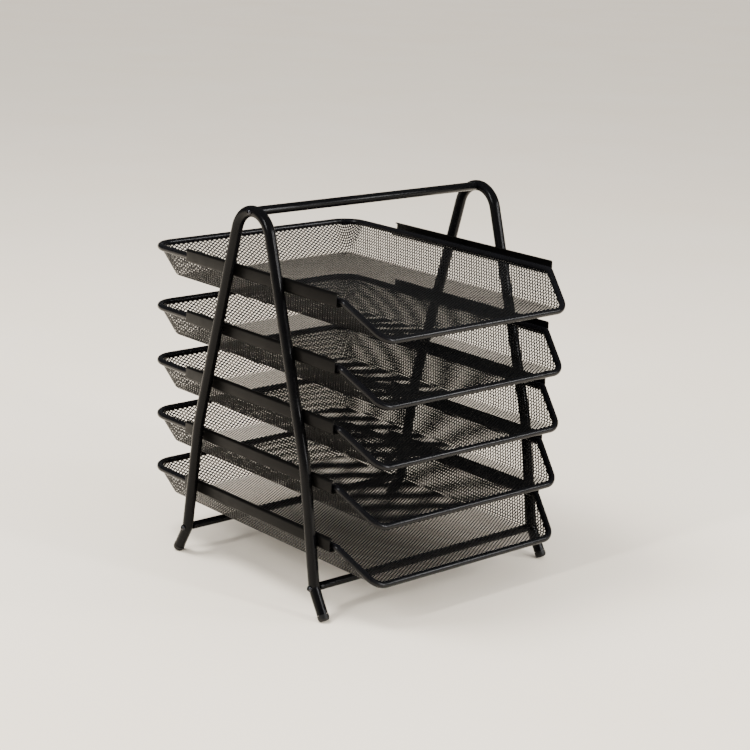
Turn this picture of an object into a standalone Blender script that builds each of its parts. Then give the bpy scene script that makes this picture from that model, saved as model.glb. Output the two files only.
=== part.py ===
"""Desktop file sorter: five mesh letter trays that slide in a carrying frame.

Two bent tube side frames are joined by a carrying handle at the top and by two cross bars near
the feet.  Each side frame carries five steel channels, and the wire rim of a tray runs in each
pair of them.  The open, lowered front of the trays faces -Y.  The origin is on the table, under
the middle of the whole object.  Units are metres, +Z is up.
"""

import math

import bmesh
import bpy
from mathutils import Matrix, Vector

MM = 0.001

# Overall
OVERALL_HEIGHT = 363.0 * MM
TRAY_WIDTH = 260.4 * MM
TRAY_LENGTH = 340.4 * MM

# Gap left between pieces that touch
CONTACT_GAP = 0.3 * MM

# Side frame tube
FRAME_TUBE_DIAMETER = 10.5 * MM
FRAME_TUBE_WALL = 1.0 * MM
ARCH_RADIUS = 25.5 * MM
LEG_LEAN = math.radians(15.9)
LEG_BEND_HEIGHT = 139.0 * MM
LEG_BEND_RADIUS = 150.0 * MM
LOWER_LEG_LEAN = math.radians(9.0)
FOOT_BEND_HEIGHT = 28.4 * MM
FOOT_BEND_RADIUS = 12.0 * MM
FOOT_FLARE = math.radians(30.5)

# Foot plugs, pushed into the open ends of the frame tube
PLUG_OVERHANG = 0.2 * MM  # how far a plug's head stands out past the tube all round
PLUG_HEAD_LENGTH = 6.0 * MM
PLUG_HEAD_ROUNDING = 3.0 * MM
PLUG_STEM_LENGTH = 8.0 * MM
PLUG_SOLE_DEPTH = 0.6 * MM  # how far the flat sole is cut into the round head

# Bars between the side frames
HANDLE_DIAMETER = 8.5 * MM
CROSS_BAR_DIAMETER = 7.5 * MM

# Button head screws, one through a tube into the end of each bar
SHANK_DIAMETER = 3.0 * MM
SHANK_GRIP = 8.0 * MM  # how far the shank reaches into a bar
BORE_SPARE = 4.0 * MM  # how much deeper than the shank the bore goes
BUTTON_HEAD_DIAMETER = 5.8 * MM
BUTTON_HEAD_HEIGHT = 2.2 * MM
SOCKET_WIDTH = 2.2 * MM
SOCKET_DEPTH = 1.2 * MM

# Tiers, from the table to the straight sides of the rims
TIER_COUNT = 5
LOWEST_RIM_HEIGHT = 69.2 * MM
TOP_RIM_BELOW_TOP = 68.1 * MM  # from the top of the side frames down to the top rim
TOP_TIER_EXTRA = 4.5 * MM  # how much higher than the others the top tray stands over the next

# Tray rim, one closed loop of round wire
RIM_DIAMETER = 6.3 * MM
RIM_REAR_CORNER_RADIUS = 23.0 * MM
RIM_BEND_RADIUS = 6.0 * MM
RIM_FRONT_CORNER_RADIUS = 15.0 * MM
FRONT_SLOPE_RUN = 38.4 * MM  # how far the sides run forward while they come down
FRONT_DROP = 29.2 * MM  # from the side rim down to the front rim
FRONT_TAPER = 16.5 * MM  # how far each side moves in while it comes down

# Mesh basket
BASKET_SHEET = 0.6 * MM
BASKET_FLOOR_ROUNDING = 6.0 * MM

# Rails
RAIL_LENGTH = 224.0 * MM
RAIL_SHEET = 1.2 * MM
RAIL_CORNER_RADIUS = 2.2 * MM
RAIL_TOP_LIP = 3.4 * MM
RAIL_SIDE_ROOM = 2.3 * MM  # free width beside the rim wire
RAIL_HEADROOM = 3.7 * MM  # free height over the rim wire
RAIL_STOP_GAP = 0.5 * MM  # from the rail's front end to the bend of the rim
FLANGE_CLEARANCE = 1.0 * MM  # between a rail's lower flange and the basket wall

# Facets
TUBE_SIDES = 12
RIM_SIDES = 10
TURNED_STEPS = 16

# Colours, as linear red, green and blue
BLACK_COAT = (0.012, 0.012, 0.013)
BLACK_WIRE = (0.016, 0.016, 0.018)
BLACK_PLASTIC = (0.009, 0.009, 0.009)
BLACK_SCREW = (0.02, 0.02, 0.021)

# Places worked out from the sizes above
TUBE_RADIUS = FRAME_TUBE_DIAMETER / 2
RIM_RADIUS = RIM_DIAMETER / 2
RIM_X = TRAY_WIDTH / 2 - RIM_RADIUS
RIM_Y = TRAY_LENGTH / 2 - RIM_RADIUS
WEB_X = TRAY_WIDTH / 2 + RAIL_SIDE_ROOM + RAIL_SHEET
FRAME_X = WEB_X + CONTACT_GAP + TUBE_RADIUS
ARCH_TOP_Z = OVERALL_HEIGHT - TUBE_RADIUS
TOP_RIM_HEIGHT = OVERALL_HEIGHT - TOP_RIM_BELOW_TOP
TIER_PITCH = (TOP_RIM_HEIGHT - TOP_TIER_EXTRA - LOWEST_RIM_HEIGHT) / (TIER_COUNT - 1)
PLUG_HEAD_DIAMETER = FRAME_TUBE_DIAMETER + 2 * PLUG_OVERHANG
WALL_LEAN = math.atan2(FRONT_TAPER, FRONT_DROP)  # the sloping wire lies in the plane of the side wall
SHEET_TO_WIRE = RIM_RADIUS + CONTACT_GAP  # from the sheet's edge to the middle of the wire it hangs on
BAR_HALF_LENGTH = FRAME_X - TUBE_RADIUS - CONTACT_GAP


def clear_scene():
    """Remove whatever objects the file starts with."""
    for item in list(bpy.data.objects):
        bpy.data.objects.remove(item, do_unlink=True)


def make_material(name, colour, roughness, metallic):
    """Return a Principled material of one colour."""
    material = bpy.data.materials.new(name)
    material.use_nodes = True
    shader = material.node_tree.nodes["Principled BSDF"]
    shader.inputs["Base Color"].default_value = (*colour, 1.0)
    shader.inputs["Roughness"].default_value = roughness
    shader.inputs["Metallic"].default_value = metallic
    material.diffuse_color = (*colour, 1.0)
    return material


def add_object(name, mesh, material=None, location=(0, 0, 0), turn=0.0, parent=None):
    """Place a mesh in the scene, turned about +Z, and return its object."""
    item = bpy.data.objects.new(name, mesh)
    bpy.context.scene.collection.objects.link(item)
    item.location = location
    item.rotation_euler = (0.0, 0.0, turn)
    item.parent = parent
    if material is not None and not mesh.materials:
        mesh.materials.append(material)
    return item


def add_empty(name, location):
    """Add an empty that marks a joint."""
    empty = bpy.data.objects.new(name, None)
    bpy.context.scene.collection.objects.link(empty)
    empty.location = location
    return empty


def hide_cutter(item):
    """Mark an object as a cutting tool, which is no part of the model."""
    item.hide_render = True
    item.display_type = "WIRE"


def finish_mesh(name, work, crease=math.radians(35)):
    """Turn a bmesh into a mesh with outward faces and smooth round sides."""
    bmesh.ops.recalc_face_normals(work, faces=work.faces)
    mesh = bpy.data.meshes.new(name)
    work.to_mesh(mesh)
    work.free()
    mesh.shade_smooth()
    mesh.set_sharp_from_angle(angle=crease)
    return mesh


def apply_modifiers(item):
    """Return the object's mesh as its modifiers leave it, and remove the object."""
    graph = bpy.context.evaluated_depsgraph_get()
    mesh = bpy.data.meshes.new_from_object(item.evaluated_get(graph))
    bpy.data.objects.remove(item, do_unlink=True)
    return mesh


def rounded_path(corners, radii, steps, closed=False):
    """Return the points of a path whose corners are rounded with arcs.

    An open path keeps its first and last corner as they are.
    """
    points = []
    count = len(corners)
    for index, corner in enumerate(corners):
        if not closed and index in (0, count - 1):
            points.append(corner.copy())
            continue
        back = (corners[index - 1] - corner).normalized()
        ahead = (corners[(index + 1) % count] - corner).normalized()
        half_angle = back.angle(ahead) / 2
        radius = radii[index]
        centre = corner + (back + ahead).normalized() * (radius / math.sin(half_angle))
        first = (corner + back * (radius / math.tan(half_angle)) - centre).normalized()
        last = (corner + ahead * (radius / math.tan(half_angle)) - centre).normalized()
        for step in range(steps[index] + 1):
            points.append(centre + first.slerp(last, step / steps[index]) * radius)
    return points


def swept_mesh(name, points, diameter, sides, closed):
    """Return the mesh of a round skin, with no end caps, that follows a path."""
    curve = bpy.data.curves.new(name, "CURVE")
    curve.dimensions = "3D"
    curve.bevel_depth = diameter / 2
    curve.bevel_resolution = sides // 2 - 2
    spline = curve.splines.new("POLY")
    spline.points.add(len(points) - 1)
    for control, point in zip(spline.points, points):
        control.co = (*point, 1.0)
    spline.use_cyclic_u = closed
    mesh = apply_modifiers(add_object(name, curve))
    mesh.shade_smooth()
    mesh.set_sharp_from_angle(angle=math.radians(50))
    return mesh


def turned_mesh(name, profile, steps=TURNED_STEPS):
    """Spin a closed (radius, height) profile, from its lower to its upper end, about +Z."""
    work = bmesh.new()
    ring = [work.verts.new((radius, 0.0, height)) for radius, height in profile]
    edges = [work.edges.new(pair) for pair in zip(ring, ring[1:])]
    bmesh.ops.spin(
        work,
        geom=ring + edges,
        cent=(0, 0, 0),
        axis=(0, 0, 1),
        angle=2 * math.pi,
        steps=steps,
        use_merge=True,
    )
    bmesh.ops.remove_doubles(work, verts=work.verts, dist=1e-7)
    return finish_mesh(name, work)


def prism_mesh(name, outline, low, high):
    """Extrude a flat (across, height) outline along Y, from low to high."""
    work = bmesh.new()
    face = work.faces.new([work.verts.new((across, low, height)) for across, height in outline])
    made = bmesh.ops.extrude_face_region(work, geom=[face])
    moved = [piece for piece in made["geom"] if isinstance(piece, bmesh.types.BMVert)]
    bmesh.ops.translate(work, vec=(0, high - low, 0), verts=moved)
    return finish_mesh(name, work)


def cylinder_into(work, centre, direction, diameter, length, sides=TURNED_STEPS):
    """Add a closed cylinder, centred on a point and lying along a direction, to a bmesh."""
    place = Matrix.Translation(centre) @ Vector(direction).to_track_quat("Z", "Y").to_matrix().to_4x4()
    bmesh.ops.create_cone(
        work,
        cap_ends=True,
        segments=sides,
        radius1=diameter / 2,
        radius2=diameter / 2,
        depth=length,
        matrix=place,
    )


def leg_half_width(height):
    """Return how far the straight run of a leg is from the frame's middle, below the arch."""
    tangent_y = ARCH_RADIUS * math.cos(LEG_LEAN)
    tangent_z = ARCH_TOP_Z - ARCH_RADIUS * (1 - math.sin(LEG_LEAN))
    bend_y = tangent_y + (tangent_z - LEG_BEND_HEIGHT) * math.tan(LEG_LEAN)
    if height >= LEG_BEND_HEIGHT:
        return tangent_y + (tangent_z - height) * math.tan(LEG_LEAN)
    return bend_y + (LEG_BEND_HEIGHT - height) * math.tan(LOWER_LEG_LEAN)


def foot_end_centre():
    """Return (y, z) of the middle of the plug's end, before its sole is cut flat."""
    reach = (PLUG_HEAD_DIAMETER / 2 - PLUG_HEAD_ROUNDING) * math.sin(FOOT_FLARE)
    rise = PLUG_HEAD_ROUNDING * (1 - math.cos(FOOT_FLARE)) + reach
    end_z = rise - PLUG_SOLE_DEPTH
    end_y = leg_half_width(FOOT_BEND_HEIGHT) + (FOOT_BEND_HEIGHT - end_z) * math.tan(FOOT_FLARE)
    return end_y, end_z


def frame_centre_y():
    """Return where the side frames stand, so that the rail ends stop the rim's bends."""
    return rim_bend_start_y() + RAIL_STOP_GAP + RAIL_LENGTH / 2


def front_slope():
    """Return the unit direction of the left rim as it comes down to the front."""
    return Vector((FRONT_TAPER, -FRONT_SLOPE_RUN, -FRONT_DROP)).normalized()


def front_corner_reach():
    """Return how far behind the front wire a rim's round front corner begins."""
    half_angle = front_slope().angle(Vector((-1, 0, 0))) / 2
    tangent = RIM_FRONT_CORNER_RADIUS / math.tan(half_angle)
    return tangent * FRONT_SLOPE_RUN / Vector((FRONT_TAPER, FRONT_SLOPE_RUN, FRONT_DROP)).length


def rim_bend_start_y():
    """Return where the straight side of a rim ends and its bend begins."""
    turn = front_slope().angle(Vector((0, -1, 0)))
    corner_y = -RIM_Y + FRONT_SLOPE_RUN
    return corner_y + RIM_BEND_RADIUS * math.tan(turn / 2)


def rim_height(tier):
    """Return the height of a tray's side rim; tier 1 is the top tray."""
    if tier == 1:
        return TOP_RIM_HEIGHT
    return LOWEST_RIM_HEIGHT + (TIER_COUNT - tier) * TIER_PITCH


def side_frame_mesh():
    """Return one side frame: an upside-down U of tube with splayed feet, centred on x = y = 0."""
    end_y, end_z = foot_end_centre()
    back_off = PLUG_HEAD_LENGTH + CONTACT_GAP
    tube_end = (end_y - back_off * math.sin(FOOT_FLARE), end_z + back_off * math.cos(FOOT_FLARE))
    half = [
        tube_end,
        (leg_half_width(FOOT_BEND_HEIGHT), FOOT_BEND_HEIGHT),
        (leg_half_width(LEG_BEND_HEIGHT), LEG_BEND_HEIGHT),
    ]
    # The two legs' lines meet above the arch, at a corner that the arch rounds off.
    peak_z = ARCH_TOP_Z - ARCH_RADIUS + ARCH_RADIUS / math.sin(LEG_LEAN)
    corners = [Vector((0, y, z)) for y, z in half]
    corners.append(Vector((0, 0, peak_z)))
    corners += [Vector((0, -y, z)) for y, z in reversed(half)]
    radii = [0, FOOT_BEND_RADIUS, LEG_BEND_RADIUS, ARCH_RADIUS, LEG_BEND_RADIUS, FOOT_BEND_RADIUS, 0]
    steps = [1, 3, 3, 14, 3, 3, 1]
    path = rounded_path(corners, radii, steps)
    skin = swept_mesh("side_frame_skin", path, FRAME_TUBE_DIAMETER, TUBE_SIDES, False)
    tube = add_object("side_frame_blank", skin)

    wall = tube.modifiers.new("Tube wall", "SOLIDIFY")
    wall.thickness = FRAME_TUBE_WALL
    wall.offset = -1.0
    wall.use_even_offset = True

    holes = bmesh.new()
    for y, z in screw_places():
        cylinder_into(holes, (0, y, z), (1, 0, 0), SHANK_DIAMETER + 2 * CONTACT_GAP, 2 * FRAME_TUBE_DIAMETER)
    drill = add_object("side_frame_drill", finish_mesh("side_frame_drill", holes))
    hide_cutter(drill)
    cut = tube.modifiers.new("Screw holes", "BOOLEAN")
    cut.operation = "DIFFERENCE"
    cut.object = drill

    mesh = apply_modifiers(tube)
    bpy.data.objects.remove(drill, do_unlink=True)
    return mesh


def screw_places():
    """Return (y, z) of the handle screw and of the two cross bar screws, from the frame's middle."""
    foot_y = leg_half_width(FOOT_BEND_HEIGHT)
    return [(0.0, ARCH_TOP_Z), (-foot_y, FOOT_BEND_HEIGHT), (foot_y, FOOT_BEND_HEIGHT)]


def bar_mesh(name, diameter):
    """Return a round bar along Z, with a bore for a screw in each end."""
    end = BAR_HALF_LENGTH
    bore_floor = end - SHANK_GRIP - BORE_SPARE
    bore = SHANK_DIAMETER / 2 + CONTACT_GAP
    outside = diameter / 2
    profile = [
        (0.0, -bore_floor),
        (bore, -bore_floor),
        (bore, -end),
        (outside, -end),
        (outside, end),
        (bore, end),
        (bore, bore_floor),
        (0.0, bore_floor),
    ]
    mesh = turned_mesh(name, profile)
    mesh.transform(Matrix.Rotation(math.pi / 2, 4, "Y"))
    return mesh


def screw_mesh():
    """Return a button head screw along +X: head seat at x = 0, shank on the +X side."""
    head = BUTTON_HEAD_DIAMETER / 2
    shank = SHANK_DIAMETER / 2
    length = 2 * CONTACT_GAP + FRAME_TUBE_DIAMETER + SHANK_GRIP
    # The head is a slice of a ball that is as high as the button and as wide as its seat.
    ball = (head**2 + BUTTON_HEAD_HEIGHT**2) / (2 * BUTTON_HEAD_HEIGHT)
    widest = math.asin(head / ball)
    dome_steps = 4
    profile = [(0.0, -length), (shank, -length), (shank, 0.0)]
    for step in range(dome_steps + 1):
        angle = widest * (1 - step / dome_steps)
        profile.append((ball * math.sin(angle), BUTTON_HEAD_HEIGHT - ball * (1 - math.cos(angle))))
    blank = add_object("screw_blank", turned_mesh("screw_blank", profile))

    hexagon = bmesh.new()
    across_corners = SOCKET_WIDTH / math.cos(math.pi / 6)
    cylinder_into(hexagon, (0, 0, BUTTON_HEAD_HEIGHT), (0, 0, 1), across_corners, 2 * SOCKET_DEPTH, sides=6)
    key = add_object("screw_key", finish_mesh("screw_key", hexagon))
    hide_cutter(key)
    socket = blank.modifiers.new("Hex socket", "BOOLEAN")
    socket.operation = "DIFFERENCE"
    socket.object = key

    mesh = apply_modifiers(blank)
    bpy.data.objects.remove(key, do_unlink=True)
    mesh.transform(Matrix.Rotation(-math.pi / 2, 4, "Y"))
    return mesh


def foot_plug_mesh():
    """Return the plug of a front foot, from the point under the frame tube's flared end."""
    head = PLUG_HEAD_DIAMETER / 2
    stem = TUBE_RADIUS - FRAME_TUBE_WALL - CONTACT_GAP
    rounding_steps = 4
    profile = [(0.0, 0.0)]
    for step in range(rounding_steps + 1):
        angle = math.pi / 2 * step / rounding_steps
        radius = head - PLUG_HEAD_ROUNDING * (1 - math.sin(angle))
        profile.append((radius, PLUG_HEAD_ROUNDING * (1 - math.cos(angle))))
    top = PLUG_HEAD_LENGTH + PLUG_STEM_LENGTH
    profile += [(head, PLUG_HEAD_LENGTH), (stem, PLUG_HEAD_LENGTH), (stem, top), (0.0, top)]
    mesh = turned_mesh("foot_plug", profile)
    end_y, end_z = foot_end_centre()
    mesh.transform(Matrix.Translation((0, -end_y, end_z)) @ Matrix.Rotation(-FOOT_FLARE, 4, "X"))

    work = bmesh.new()
    work.from_mesh(mesh)
    bpy.data.meshes.remove(mesh)
    everything = work.verts[:] + work.edges[:] + work.faces[:]
    cut = bmesh.ops.bisect_plane(
        work,
        geom=everything,
        plane_co=(0, 0, 0),
        plane_no=(0, 0, -1),
        clear_outer=True,
    )
    sole = [piece for piece in cut["geom_cut"] if isinstance(piece, bmesh.types.BMEdge)]
    bmesh.ops.contextual_create(work, geom=sole)
    return finish_mesh("foot_plug", work)


def rail_mesh():
    """Return a left rail, a channel open towards +X, about the middle of the rim wire in it."""
    web = RIM_X - WEB_X
    top = RIM_RADIUS + RAIL_HEADROOM + RAIL_SHEET
    flange_top = -RIM_RADIUS - CONTACT_GAP
    bottom = flange_top - RAIL_SHEET
    lip_end = web + RAIL_TOP_LIP
    wall_surface = -flange_top * math.tan(WALL_LEAN) - BASKET_SHEET / math.cos(WALL_LEAN) / 2
    flange_end = wall_surface - FLANGE_CLEARANCE
    inner_radius = RAIL_CORNER_RADIUS - RAIL_SHEET
    corner_x = web + RAIL_CORNER_RADIUS
    outline = [(flange_end, bottom)]
    outline += arc_points(corner_x, bottom + RAIL_CORNER_RADIUS, RAIL_CORNER_RADIUS, 270, 180)
    outline += arc_points(corner_x, top - RAIL_CORNER_RADIUS, RAIL_CORNER_RADIUS, 180, 90)
    outline += [(lip_end, top), (lip_end, top - RAIL_SHEET)]
    outline += arc_points(corner_x, top - RAIL_CORNER_RADIUS, inner_radius, 90, 180)
    outline += arc_points(corner_x, bottom + RAIL_CORNER_RADIUS, inner_radius, 180, 270)
    outline.append((flange_end, flange_top))
    return prism_mesh("rail", outline, -RAIL_LENGTH / 2, RAIL_LENGTH / 2)


def arc_points(centre_a, centre_b, radius, start, end, steps=3):
    """Return points along an arc, whose angles are in degrees."""
    points = []
    for step in range(steps + 1):
        angle = math.radians(start + (end - start) * step / steps)
        points.append((centre_a + radius * math.cos(angle), centre_b + radius * math.sin(angle)))
    return points


def rim_mesh():
    """Return a tray's wire rim, with its straight sides at z = 0."""
    front_x = RIM_X - FRONT_TAPER
    bend_y = -RIM_Y + FRONT_SLOPE_RUN
    right = [
        Vector((RIM_X, RIM_Y, 0)),
        Vector((RIM_X, bend_y, 0)),
        Vector((front_x, -RIM_Y, -FRONT_DROP)),
    ]
    left = [Vector((-corner.x, corner.y, corner.z)) for corner in reversed(right)]
    radii = [RIM_REAR_CORNER_RADIUS, RIM_BEND_RADIUS, RIM_FRONT_CORNER_RADIUS]
    steps = [6, 3, 5]
    path = rounded_path(right + left, radii + radii[::-1], steps + steps[::-1], closed=True)
    return swept_mesh("tray_rim", path, RIM_DIAMETER, RIM_SIDES, True)


def basket_mesh():
    """Return the basket of a tray as a thin sheet with a wall at the sides and the back.

    The sheet starts under the wire, leans in and rounds into the floor.
    """
    work = bmesh.new()
    rows = []
    for inset, height in basket_section():
        rows.append([work.verts.new(point) for point in basket_row(inset, height)])
    for upper, lower in zip(rows, rows[1:]):
        for index in range(len(upper) - 1):
            work.faces.new((upper[index], upper[index + 1], lower[index + 1], lower[index]))

    # The floor closes the lowest row and reaches forward to the front wire.
    left_end = rows[-1][0].co.copy()
    right_end = rows[-1][-1].co.copy()
    front_y = -RIM_Y + SHEET_TO_WIRE
    corners = [
        right_end,
        Vector((right_end.x, front_y, -FRONT_DROP)),
        Vector((left_end.x, front_y, -FRONT_DROP)),
        left_end,
    ]
    rounding = BASKET_FLOOR_ROUNDING
    front = rounded_path(corners, [0, rounding, rounding, 0], [1, 3, 3, 1])[1:-1]
    work.faces.new(rows[-1] + [work.verts.new(point) for point in front])

    sheet = add_object("basket_blank", finish_mesh("basket_blank", work))
    wall = sheet.modifiers.new("Sheet", "SOLIDIFY")
    wall.thickness = BASKET_SHEET
    wall.offset = 0.0
    wall.use_even_offset = True
    mesh = apply_modifiers(sheet)
    mesh.shade_smooth()
    mesh.set_sharp_from_angle(angle=math.radians(35))
    return mesh


def basket_section():
    """Return (inset, height) down the wall's section, from under the wire to the flat floor.

    Both are measured from the middle of the wire.
    """
    centre_z = -FRONT_DROP + BASKET_FLOOR_ROUNDING
    centre_inset = -centre_z * math.tan(WALL_LEAN) + BASKET_FLOOR_ROUNDING / math.cos(WALL_LEAN)
    section = [(SHEET_TO_WIRE * math.sin(WALL_LEAN), -SHEET_TO_WIRE * math.cos(WALL_LEAN))]
    steps = 3
    for step in range(steps + 1):
        angle = (math.pi / 2 - WALL_LEAN) * (1 - step / steps)
        inset = centre_inset - BASKET_FLOOR_ROUNDING * math.sin(angle)
        section.append((inset, centre_z - BASKET_FLOOR_ROUNDING * math.cos(angle)))
    return section


def basket_row(inset, height):
    """Return one level line of the basket's wall, from the left front end round to the right one."""
    half_width = RIM_X - inset
    rear_y = RIM_Y - inset
    radius = max(RIM_REAR_CORNER_RADIUS - inset, BASKET_SHEET)
    # The wall's front edge runs beside the sloping wire, and low down it stops short of the wire's
    # round front corner.
    wire_y = -RIM_Y + FRONT_SLOPE_RUN * (1 + height / FRONT_DROP)
    slope_in_wall = math.atan2(FRONT_DROP / math.cos(WALL_LEAN), FRONT_SLOPE_RUN)
    corner_y = -RIM_Y + front_corner_reach()
    front_y = max(wire_y + SHEET_TO_WIRE / math.sin(slope_in_wall), corner_y + SHEET_TO_WIRE)
    corners = [
        Vector((-half_width, front_y, height)),
        Vector((-half_width, rear_y, height)),
        Vector((half_width, rear_y, height)),
        Vector((half_width, front_y, height)),
    ]
    return rounded_path(corners, [0, radius, radius, 0], [1, 6, 6, 1])


def build_frame(materials):
    """Add the two side frames, their foot plugs, the handle, the cross bars and the screws."""
    centre_y = frame_centre_y()
    frame_mesh = side_frame_mesh()
    plug_mesh = foot_plug_mesh()
    screw = screw_mesh()
    foot_y = leg_half_width(FOOT_BEND_HEIGHT)
    for side, sign in (("left", -1), ("right", 1)):
        x = sign * FRAME_X
        add_object(f"{side}_side_frame", frame_mesh, materials["coat"], (x, centre_y, 0))
        add_object(f"front_{side}_foot_plug", plug_mesh, materials["plastic"], (x, centre_y, 0))
        add_object(f"rear_{side}_foot_plug", plug_mesh, materials["plastic"], (x, centre_y, 0), math.pi)
        seat_x = sign * (FRAME_X + TUBE_RADIUS + CONTACT_GAP)
        turn = 0.0 if sign < 0 else math.pi
        for place, (y, z) in zip(("handle", "front", "rear"), screw_places()):
            add_object(f"{place}_{side}_screw", screw, materials["screw"], (seat_x, centre_y + y, z), turn)
    handle = bar_mesh("handle_bar", HANDLE_DIAMETER)
    add_object("handle_bar", handle, materials["coat"], (0, centre_y, ARCH_TOP_Z))
    cross_bar = bar_mesh("cross_bar", CROSS_BAR_DIAMETER)
    for place, sign in (("front", -1), ("rear", 1)):
        centre = (0, centre_y + sign * foot_y, FOOT_BEND_HEIGHT)
        add_object(f"{place}_cross_bar", cross_bar, materials["coat"], centre)


def build_rails(materials):
    """Add a left and a right rail for every tray."""
    mesh = rail_mesh()
    for tier in range(1, TIER_COUNT + 1):
        height = rim_height(tier)
        add_object(f"left_rail_{tier}", mesh, materials["coat"], (-RIM_X, frame_centre_y(), height))
        add_object(f"right_rail_{tier}", mesh, materials["coat"], (RIM_X, frame_centre_y(), height), math.pi)


def build_trays(materials):
    """Add the trays; each rides on an empty on the line that it slides along."""
    rim = rim_mesh()
    basket = basket_mesh()
    for tier in range(1, TIER_COUNT + 1):
        slide = add_empty(f"tray_{tier}_slide", (0, 0, rim_height(tier)))
        add_object(f"tray_{tier}_rim", rim, materials["wire"], parent=slide)
        add_object(f"tray_{tier}_basket", basket, materials["mesh"], parent=slide)


def main():
    """Build the whole sorter."""
    clear_scene()
    materials = {
        "coat": make_material("black_powder_coat", BLACK_COAT, 0.38, 0.0),
        "wire": make_material("black_coated_wire", BLACK_WIRE, 0.32, 0.0),
        "mesh": make_material("black_coated_mesh", BLACK_COAT, 0.42, 0.0),
        "plastic": make_material("black_plastic", BLACK_PLASTIC, 0.55, 0.0),
        "screw": make_material("blackened_screw", BLACK_SCREW, 0.3, 1.0),
    }
    build_frame(materials)
    build_rails(materials)
    build_trays(materials)


main()
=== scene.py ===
"""Studio model of a desktop file sorter: five wire mesh trays sliding in a carrying frame.

Every visible piece is modelled here in its finished form: bent powder coated tube, turned bars,
button head screws, moulded foot plugs, folded sheet rails, wire rims and baskets of mesh whose
strands are real geometry.  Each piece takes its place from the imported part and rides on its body.
Units are metres, +Z is up, and the open front of the trays faces -Y.
"""

import logging
import math
from dataclasses import dataclass
from enum import Enum
from typing import Any, Callable, Sequence

import bpy
import numpy as np
from mathutils import Matrix, Vector


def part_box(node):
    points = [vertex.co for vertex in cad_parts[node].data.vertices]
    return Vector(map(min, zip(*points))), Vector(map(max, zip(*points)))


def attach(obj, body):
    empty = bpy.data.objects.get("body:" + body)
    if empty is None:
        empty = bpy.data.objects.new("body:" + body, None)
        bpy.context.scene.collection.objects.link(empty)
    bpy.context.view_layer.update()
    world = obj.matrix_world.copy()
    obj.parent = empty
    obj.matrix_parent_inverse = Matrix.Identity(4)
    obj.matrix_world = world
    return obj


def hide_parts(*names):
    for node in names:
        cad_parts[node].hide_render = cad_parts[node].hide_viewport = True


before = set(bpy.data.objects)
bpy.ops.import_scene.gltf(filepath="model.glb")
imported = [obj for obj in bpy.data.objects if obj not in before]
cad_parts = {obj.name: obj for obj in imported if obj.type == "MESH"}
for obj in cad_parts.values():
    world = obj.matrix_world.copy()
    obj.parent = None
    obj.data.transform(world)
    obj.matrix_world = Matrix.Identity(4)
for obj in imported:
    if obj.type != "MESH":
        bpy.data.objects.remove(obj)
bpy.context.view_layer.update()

MM = 0.001
CONTACT_GAP = 0.3 * MM
TIERS = (1, 2, 3, 4, 5)
ROUND_SIDES = 48
BORE_SIDES = 32
ACROSS = (0, math.pi / 2, 0)  # turns a new cylinder or plane so that its axis lies along X
FACING = 0.9  # how closely a face's normal must follow a direction to count as facing it
FLAT_END = 0.999  # the same, but leaving out the chamfer round a flat end
SAME_PLACE = 1e-5
# Corner numbers of a small plate's faces: four corners below, then the four above them.
BOX_FACES = ((3, 2, 1, 0), (4, 5, 6, 7), (0, 1, 5, 4), (1, 2, 6, 5), (2, 3, 7, 6), (3, 0, 4, 7))
# A colour Mix node's sockets, which share their names with its other kinds.
MIX_FIRST, MIX_SECOND, MIX_RESULT = 6, 7, 2
# Between these values lies nearly all of a noise pattern.
NOISE_SPAN = (0.3, 0.7)
# Uneven gloss changes over this many times the spacing of the relief.
GLOSS_GRAINS = 9
log = logging.getLogger("file_sorter")

# Tests of a face by its centre and normal, or of an edge by its two ends.
MeshTest = Callable[[Vector, Vector], bool]


class Side(Enum):
    """The two sides of the sorter, with the direction of each along X."""

    LEFT = -1
    RIGHT = 1

    @property
    def word(self) -> str:
        """The side's name as the nodes spell it."""
        return self.name.lower()


class Place(Enum):
    """The two ends of the sorter, with the direction of each along Y."""

    FRONT = -1
    REAR = 1


# -------- colours and shader nodes


def hex_colour(code: str) -> tuple[float, float, float, float]:
    """Turn an sRGB hex colour into linear red, green, blue and alpha.

    Args:
        code: six hex digits, with or without a leading #.

    Returns:
        The four linear values.
    """
    digits = code.lstrip("#")
    linear = []
    for start in (0, 2, 4):
        value = int(digits[start : start + 2], 16) / 255
        linear.append(value / 12.92 if value <= 0.04045 else ((value + 0.055) / 1.055) ** 2.4)
    return (linear[0], linear[1], linear[2], 1.0)


def add_node(
    tree: bpy.types.NodeTree,
    kind: str,
    settings: dict[str, Any] | None = None,
    links: dict[str, bpy.types.NodeSocket] | None = None,
) -> bpy.types.Node:
    """Add a node with its settings and its incoming links.

    Args:
        tree: the node tree that the node goes into.
        kind: the node's type, such as ShaderNodeTexNoise.
        settings: values by name, for an input socket or else for a property of the node.
        links: output sockets of other nodes by the name of the input they feed.

    Returns:
        The new node.
    """
    node = tree.nodes.new(kind)
    for name, value in (settings or {}).items():
        if name in node.inputs:
            node.inputs[name].default_value = value
        else:
            setattr(node, name, value)
    for name, socket in (links or {}).items():
        tree.links.new(socket, node.inputs[name])
    return node


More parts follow.
